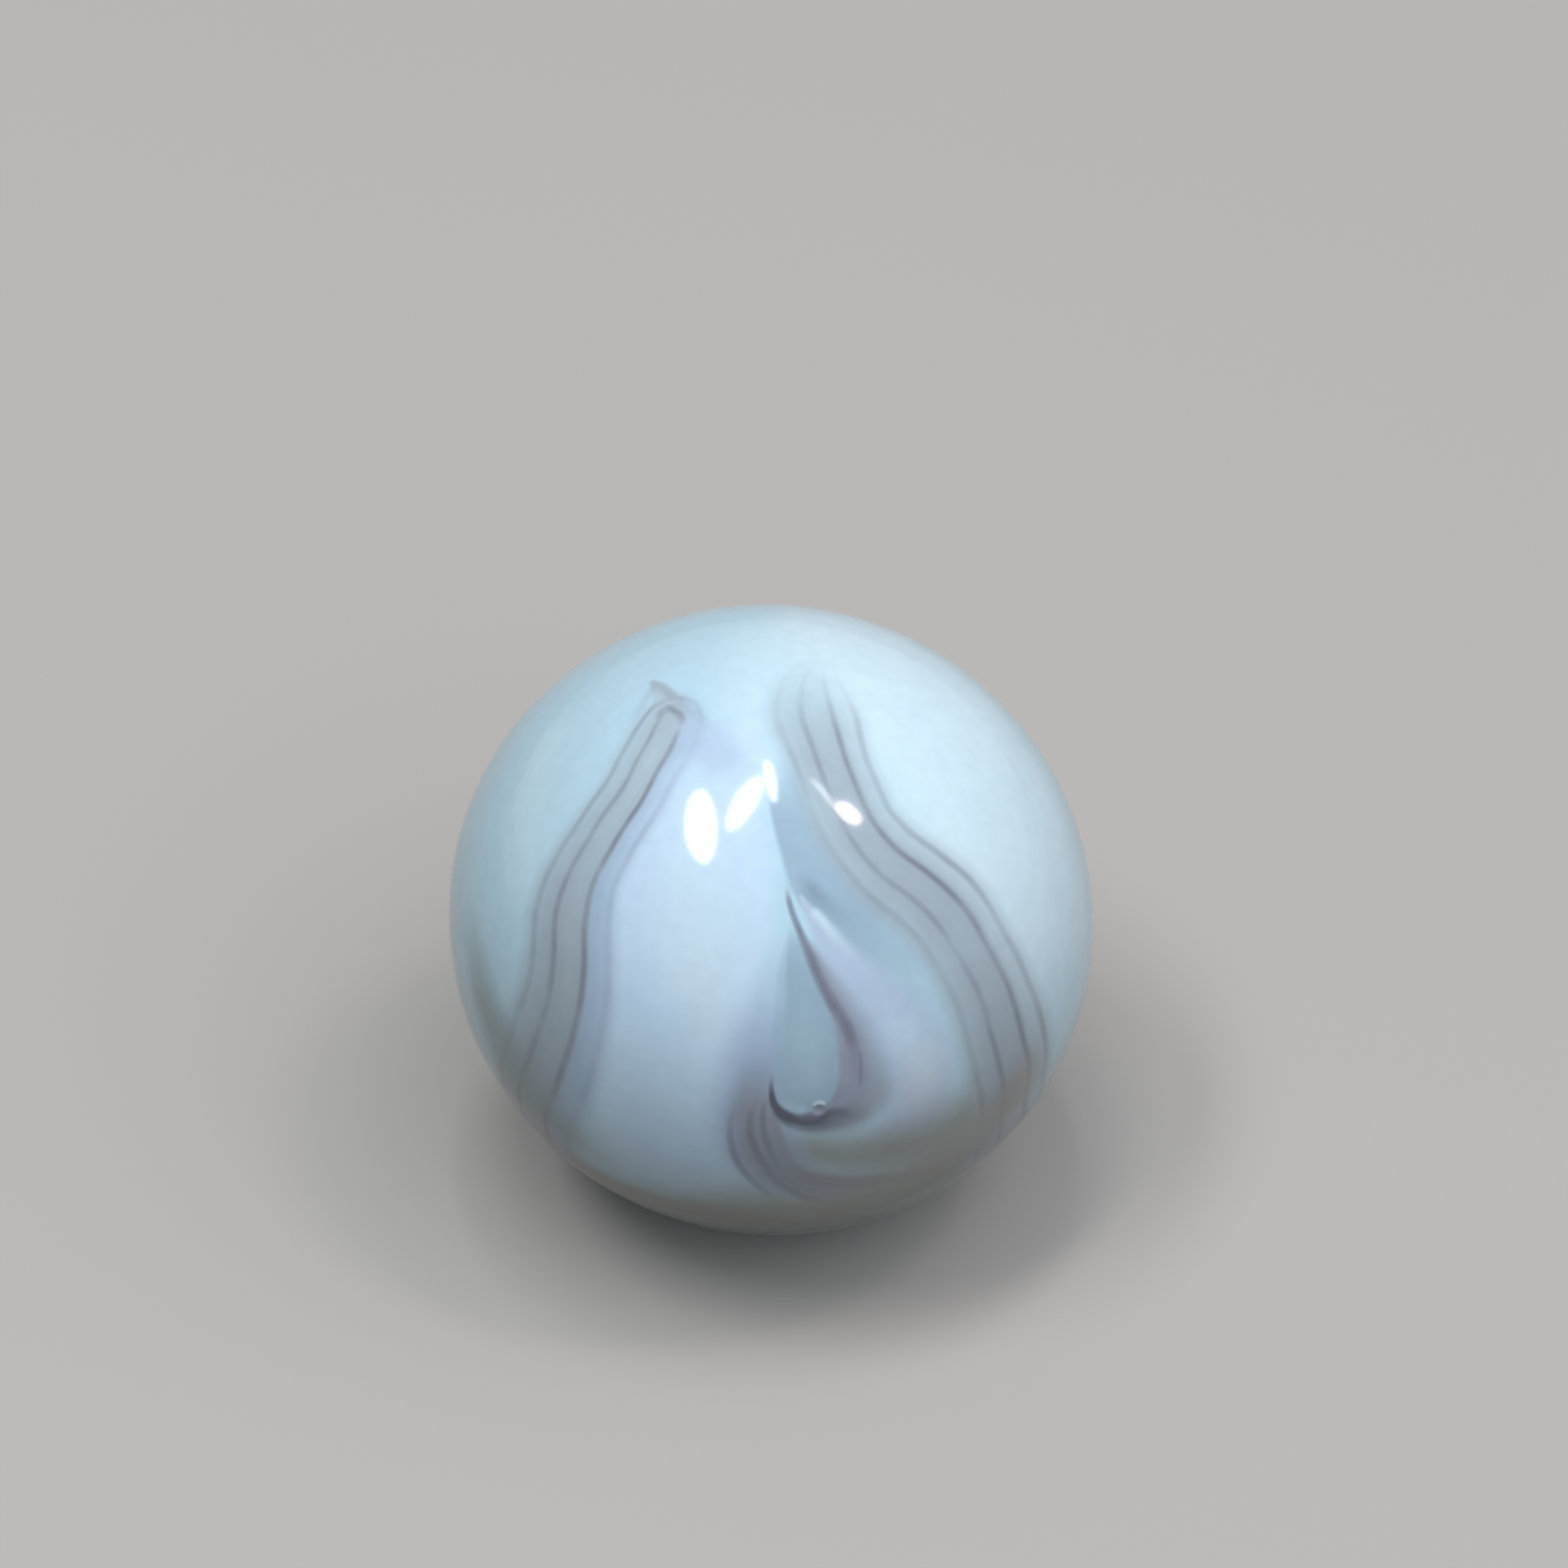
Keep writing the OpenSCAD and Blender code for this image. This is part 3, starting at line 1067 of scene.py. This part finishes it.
def add_surroundings(studio):
    """Soft light from all round, more of it from the front, and a pale backdrop to be seen."""
    shader = Shader(bpy.data.worlds.new("soft_light"))
    towards = shader.add("ShaderNodeTexCoord").outputs["Generated"]
    level = math.cos(studio.front_elevation)
    middle = (level * math.sin(studio.front_azimuth), -level * math.cos(studio.front_azimuth),
              math.sin(studio.front_elevation))
    nearness = shader.add("ShaderNodeVectorMath", {0: towards, 1: middle}, operation="DOT_PRODUCT")
    front = shader.ease(nearness.outputs["Value"], FRONT_EDGE, FRONT_CORE)
    strength = shader.math("MULTIPLY_ADD", front, studio.front_level, studio.sky_level)
    light = shader.add("ShaderNodeBackground", {"Color": (*studio.sky_colour, 1.0),
                                                "Strength": strength})
    backdrop = shader.add("ShaderNodeBackground", {"Color": (*studio.backdrop_colour, 1.0)})
    both = shader.add("ShaderNodeMixShader", {0: shader.seen(), 1: light.outputs[0],
                                              2: backdrop.outputs[0]})
    shader.add("ShaderNodeOutputWorld", {"Surface": both.outputs[0]})
    bpy.context.scene.world = shader.owner


def mirrored(ball, studio, across_mm, up_mm):
    """Direction in which the camera sees the room, mirrored at a place on the face."""
    point = ball.place(across_mm, up_mm)
    to_camera = ball.out * studio.camera_distance - point
    to_camera /= np.linalg.norm(to_camera)
    flattening = (ball.waist_r / ball.short_r) ** 2 - 1
    normal = point + ball.short_axis * (point @ ball.short_axis) * flattening
    normal /= np.linalg.norm(normal)
    return 2 * (normal @ to_camera) * normal - to_camera


def spread(ball, studio, at, length_mm, right, up):
    """How far the mirrored direction swings along a line on the face, centred on a place."""
    x, y = at
    dx, dy = length_mm / 2 * right, length_mm / 2 * up
    return mirrored(ball, studio, x + dx, y + dy) - mirrored(ball, studio, x - dx, y - dy)


def add_lamp(ball, studio, lamp, number):
    """Hangs a soft lamp where the face mirrors it to the camera, at the size of its reflection."""
    sine, cosine = math.sin(math.radians(lamp.turn)), math.cos(math.radians(lamp.turn))
    towards = mirrored(ball, studio, *lamp.at)
    sideways = spread(ball, studio, lamp.at, lamp.width, cosine, -sine)
    upwards = spread(ball, studio, lamp.at, lamp.height, sine, cosine)
    width = np.linalg.norm(sideways) * studio.lamp_distance
    height = np.linalg.norm(upwards) * studio.lamp_distance
    x_axis = Vector(sideways).normalized()
    z_axis = Vector(towards).normalized()
    y_axis = z_axis.cross(x_axis).normalized()
    x_axis = y_axis.cross(z_axis)
    deselect_all()
    bpy.ops.object.light_add(type="AREA", location=Vector(towards) * studio.lamp_distance)
    light = bpy.context.object
    light.name = f"lamp_{number}"
    light.rotation_euler = Matrix((x_axis, y_axis, z_axis)).transposed().to_euler()
    light.data.shape = "ELLIPSE"
    light.data.size = width
    light.data.size_y = height
    area = math.pi / 4 * width * height
    light.data.energy = studio.lamp_radiance * lamp.brightness * math.pi * area
    light.data.color = [a * b for a, b in zip(studio.lamp_colour, lamp.tint)]


def add_camera(ball, studio):
    """A camera square on to the face, turned a little so that the ball falls in its place."""
    distance = studio.camera_distance
    focal_px = BALL_HALF_PX / math.tan(math.asin(ball.waist_r / distance))
    middle = PICTURE_PX / 2
    aside = (middle - BALL_AT_PX[0]) / focal_px * distance
    above = (BALL_AT_PX[1] - middle) / focal_px * distance
    target = Vector(ball.across * aside + ball.up * above)
    position = Vector(ball.out * distance)
    deselect_all()
    bpy.ops.object.camera_add(location=position,
                              rotation=(target - position).to_track_quat("-Z", "Y").to_euler())
    camera = bpy.context.object
    camera.data.sensor_width = SENSOR_MM
    camera.data.lens = focal_px * SENSOR_MM / PICTURE_PX
    camera.data.clip_start = distance * NEAREST_SHARE
    bpy.context.scene.camera = camera


class MARBLE_OT_add_stage(bpy.types.Operator):
    """Set up the studio: the floor, the surroundings, the lamps and the camera"""

    bl_idname = "marble.add_stage"
    bl_label = "Studio"

    def execute(self, context):
        studio = context.scene.marble_studio
        ball = Ball(context.scene.marble_ball)
        add_floor(studio)
        add_surroundings(studio)
        for number, lamp in enumerate(LAMPS, 1):
            add_lamp(ball, studio, lamp, number)
        add_camera(ball, studio)
        context.scene.view_settings.view_transform = "Standard"
        return {"FINISHED"}


# ---- Add-on ----


class MARBLE_PT_sidebar(bpy.types.Panel):
    """Lists what makes the marble and its studio"""

    bl_idname = "MARBLE_PT_sidebar"
    bl_label = "Glass Marble"
    bl_space_type = "VIEW_3D"
    bl_region_type = "UI"
    bl_category = "Marble"

    def draw(self, context):
        scene = context.scene
        for settings in (scene.marble_ball, scene.marble_glass, scene.marble_studio):
            box = self.layout.box()
            for name in settings.__annotations__:
                box.prop(settings, name)
        self.layout.operator(MARBLE_OT_add_marble.bl_idname)
        self.layout.operator(MARBLE_OT_add_stage.bl_idname)


CLASSES = (
    BallSettings,
    GlassSettings,
    StudioSettings,
    MARBLE_OT_add_marble,
    MARBLE_OT_add_stage,
    MARBLE_PT_sidebar,
)


def register():
    """Registers the classes and hangs the settings on the scene."""
    for item in CLASSES:
        bpy.utils.register_class(item)
    bpy.types.Scene.marble_ball = PointerProperty(type=BallSettings)
    bpy.types.Scene.marble_glass = PointerProperty(type=GlassSettings)
    bpy.types.Scene.marble_studio = PointerProperty(type=StudioSettings)


def unregister():
    """Takes the settings off the scene and unregisters the classes."""
    del bpy.types.Scene.marble_studio
    del bpy.types.Scene.marble_glass
    del bpy.types.Scene.marble_ball
    for item in reversed(CLASSES):
        bpy.utils.unregister_class(item)


def main():
    """Makes the marble and its studio."""
    register()
    bpy.ops.marble.add_marble()
    bpy.ops.marble.add_stage()


if __name__ == "__main__":
    main()
